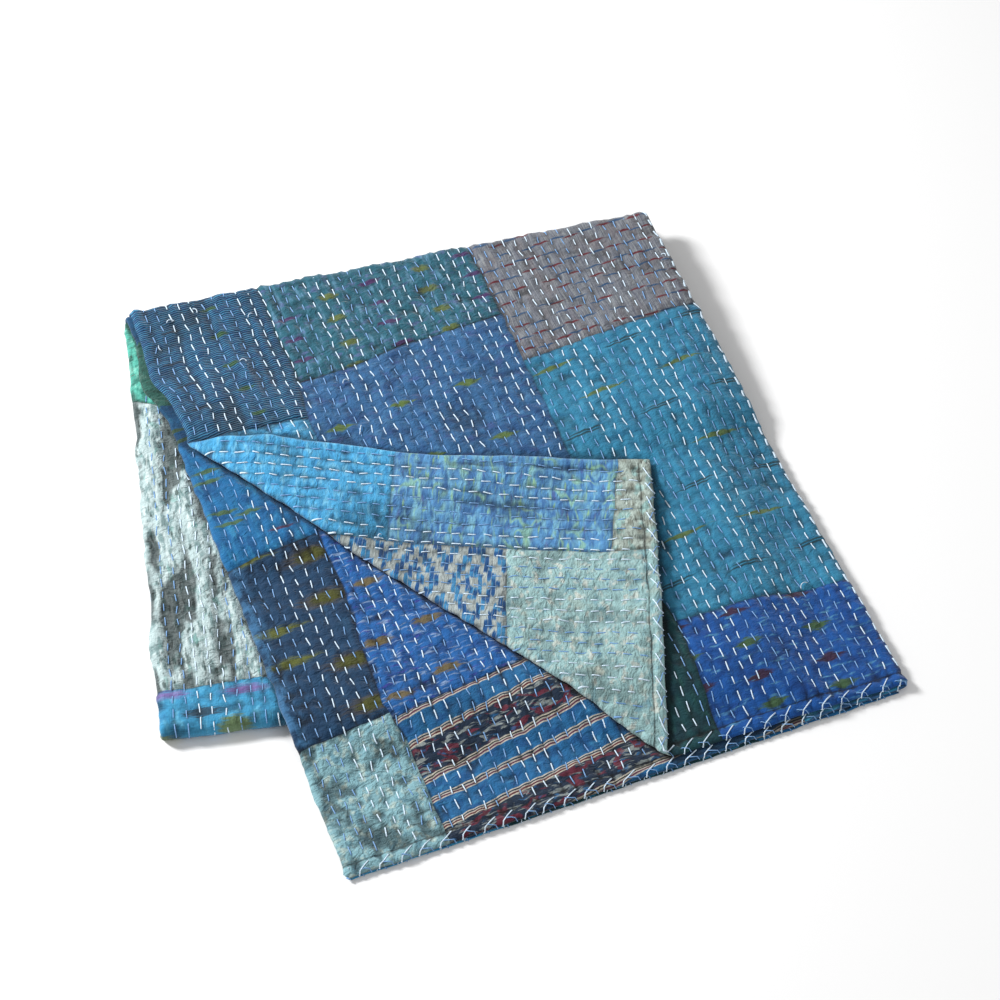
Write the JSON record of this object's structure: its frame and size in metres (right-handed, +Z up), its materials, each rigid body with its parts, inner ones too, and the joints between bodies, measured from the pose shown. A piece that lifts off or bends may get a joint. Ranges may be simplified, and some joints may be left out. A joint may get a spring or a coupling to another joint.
{
  "type": "folded kantha quilt",
  "caption": "Hand-stitched patchwork throw folded in thirds and then back and forth, its top corner turned back, lying flat.",
  "frame": {"origin": "middle of the pack's footprint, on the surface it lies on", "axes": "+Z up, square to the layers; +Y along the rows of stitching of the top length, from its hem to the back fold; +X along the hem"},
  "size_m": [0.5064, 0.5276, 0.0315],
  "materials": {
    "patched_cotton": "soft matt cotton patches in blues and greens, quilted with rows of white and light blue running stitch"
  },
  "bodies": {
    "root": {"quilt": "patched_cotton"}
  },
  "joints": []
}
